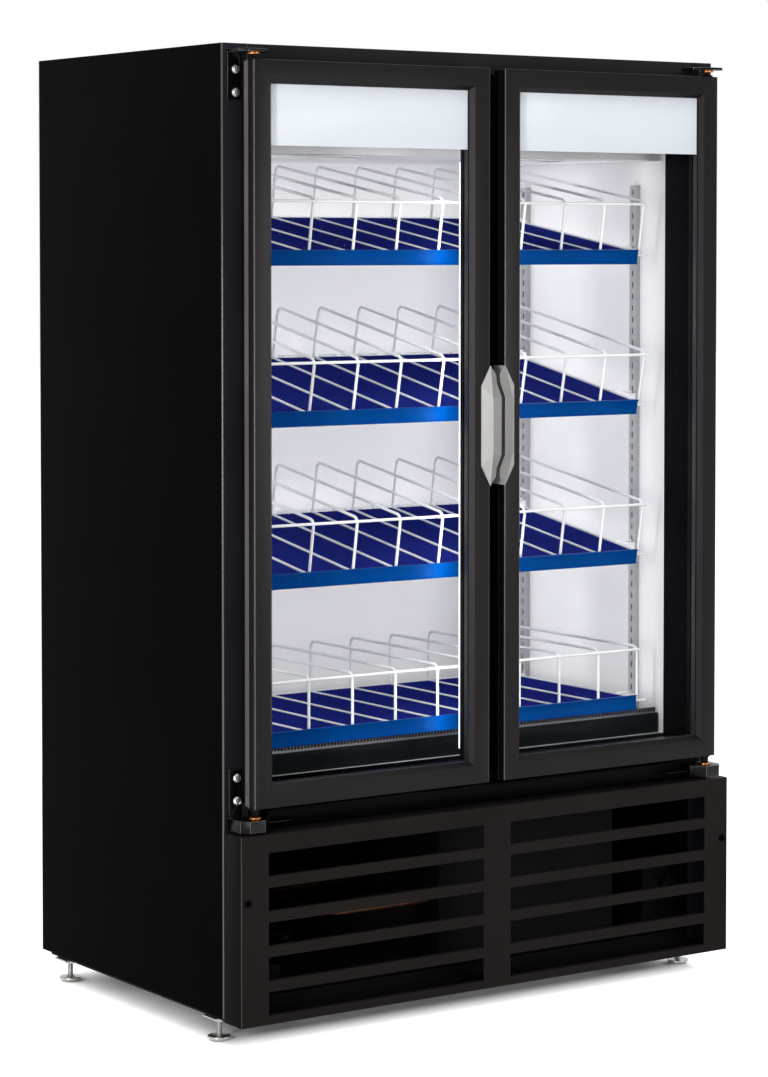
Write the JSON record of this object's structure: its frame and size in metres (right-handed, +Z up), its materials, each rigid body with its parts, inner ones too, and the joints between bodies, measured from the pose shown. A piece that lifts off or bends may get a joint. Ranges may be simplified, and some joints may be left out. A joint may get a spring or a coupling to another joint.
{
  "type": "glass door merchandiser refrigerator",
  "caption": "Free-standing refrigerator with paired swing glass doors, wire gravity shelves with lane dividers, and a slotted lower panel over the machine compartment.",
  "frame": {"origin": "on the floor, under the middle of the whole object's footprint", "axes": "+Z up, the doors face -Y, +X to the right seen from the front"},
  "size_m": [1.24, 0.8296, 1.969],
  "materials": {
    "black_paint": "satin black powder coat",
    "charcoal_frame": "satin charcoal",
    "white_paint": "gloss white",
    "galvanised": "galvanised",
    "foam": "rigid foam",
    "black_plastic": "matt",
    "duct_plastic": "gloss",
    "light_plastic": "diffuser",
    "blue_plastic": "gloss blue",
    "navy_plastic": "ribbed",
    "white_wire": "white coated wire",
    "glass": "clear",
    "sign": "bare white",
    "gasket_rubber": "soft",
    "grey_handle": "satin silver grey",
    "chrome": "polished",
    "bronze": "sintered bronze",
    "black_steel": "black oxide",
    "black_fins": "black epoxy on aluminium fins",
    "copper": "copper tube",
    "fin_aluminium": "fins",
    "compressor_black": "black enamel",
    "grommet_rubber": "soft"
  },
  "bodies": {
    "cabinet": {"left_side_panel": "black_paint", "right_side_panel": "black_paint", "top_panel": "black_paint", "rear_panel": "galvanised", "machine_bay_cover": "galvanised", "mains_gland": "black_plastic", "foam_insulation": "foam", "liner": "white_paint", "breaker_strips": "black_plastic", "mullion": "black_paint", "light_bars": "light_plastic", "sill_rail": "black_paint", "base_frame": "black_paint", "foot_brackets": "galvanised", "grille_panel": "charcoal_frame", "grille_screws": "black_paint", "hinge_brackets": "black_paint", "hinge_bolts": "chrome", "hinge_bushes": "bronze", "closer_rods": "black_steel", "shelf_standards": "white_paint", "shelf_clips": "white_wire", "lane_dividers": "white_wire", "lane_glides": "navy_plastic", "price_rails": "blue_plastic", "bottom_duct": "duct_plastic", "evaporator_cover": "white_paint", "evaporator_coil": "fin_aluminium", "fan_motors": "compressor_black", "compressor": "compressor_black", "compressor_grommets": "grommet_rubber", "condenser_coil": "black_fins", "condenser_shroud": "black_plastic", "refrigerant_lines": "copper", "control_box": "black_plastic", "condensate_tray": "black_plastic", "shelf_deck_1": "white_wire", "shelf_deck_2": "white_wire", "shelf_deck_3": "white_wire", "shelf_deck_4": "white_wire"},
    "left_evaporator_fan": {"evaporator_fan_left": "black_plastic"},
    "right_evaporator_fan": {"evaporator_fan_right": "black_plastic"},
    "condenser_fan_rotor": {"condenser_fan": "black_plastic"},
    "thermostat": {"thermostat_knob": "black_plastic"},
    "front_left_foot": {"foot_front_left": "chrome"},
    "front_right_foot": {"foot_front_right": "chrome"},
    "rear_left_foot": {"foot_rear_left": "chrome"},
    "rear_right_foot": {"foot_rear_right": "chrome"},
    "left_door": {"door_frame_left": "charcoal_frame", "glass_unit_left": "glass", "sign_panel_left": "sign", "gasket_left": "gasket_rubber", "handle_left": "grey_handle", "hinge_pins_left": "black_steel"},
    "right_door": {"door_frame_right": "charcoal_frame", "glass_unit_right": "glass", "sign_panel_right": "sign", "gasket_right": "gasket_rubber", "handle_right": "grey_handle", "hinge_pins_right": "black_steel"}
  },
  "joints": [
    {"name": "left_door_hinge", "type": "hinge", "parent": "cabinet", "child": "left_door", "pos_m": [-0.573, -0.373, 1.2], "axis": [0, 0, -1], "range_deg": [0, 110], "stiffness_Nm_per_rad": 1.5},
    {"name": "right_door_hinge", "type": "hinge", "parent": "cabinet", "child": "right_door", "pos_m": [0.573, -0.373, 1.2], "axis": [0, 0, 1], "range_deg": [0, 110], "stiffness_Nm_per_rad": 1.5},
    {"name": "left_evaporator_fan_spin", "type": "hinge", "parent": "cabinet", "child": "left_evaporator_fan", "pos_m": [-0.26, -0.0962, 1.78], "axis": [0, 0, 1], "continuous": true},
    {"name": "right_evaporator_fan_spin", "type": "hinge", "parent": "cabinet", "child": "right_evaporator_fan", "pos_m": [0.26, -0.0962, 1.78], "axis": [0, 0, 1], "continuous": true},
    {"name": "condenser_fan_spin", "type": "hinge", "parent": "cabinet", "child": "condenser_fan_rotor", "pos_m": [0.17, -0.1722, 0.241], "axis": [0, 1, 0], "continuous": true},
    {"name": "front_left_foot_turn", "type": "hinge", "parent": "cabinet", "child": "front_left_foot", "pos_m": [-0.59, -0.2652, 0.02], "axis": [0, 0, 1], "continuous": true},
    {"name": "front_right_foot_turn", "type": "hinge", "parent": "cabinet", "child": "front_right_foot", "pos_m": [0.59, -0.2652, 0.02], "axis": [0, 0, 1], "continuous": true},
    {"name": "rear_left_foot_turn", "type": "hinge", "parent": "cabinet", "child": "rear_left_foot", "pos_m": [-0.59, 0.3458, 0.02], "axis": [0, 0, 1], "continuous": true},
    {"name": "rear_right_foot_turn", "type": "hinge", "parent": "cabinet", "child": "rear_right_foot", "pos_m": [0.59, 0.3458, 0.02], "axis": [0, 0, 1], "continuous": true},
    {"name": "thermostat_turn", "type": "hinge", "parent": "cabinet", "child": "thermostat", "pos_m": [0.525, -0.3012, 0.191], "axis": [0, 1, 0], "range_deg": [0, 270]}
  ]
}
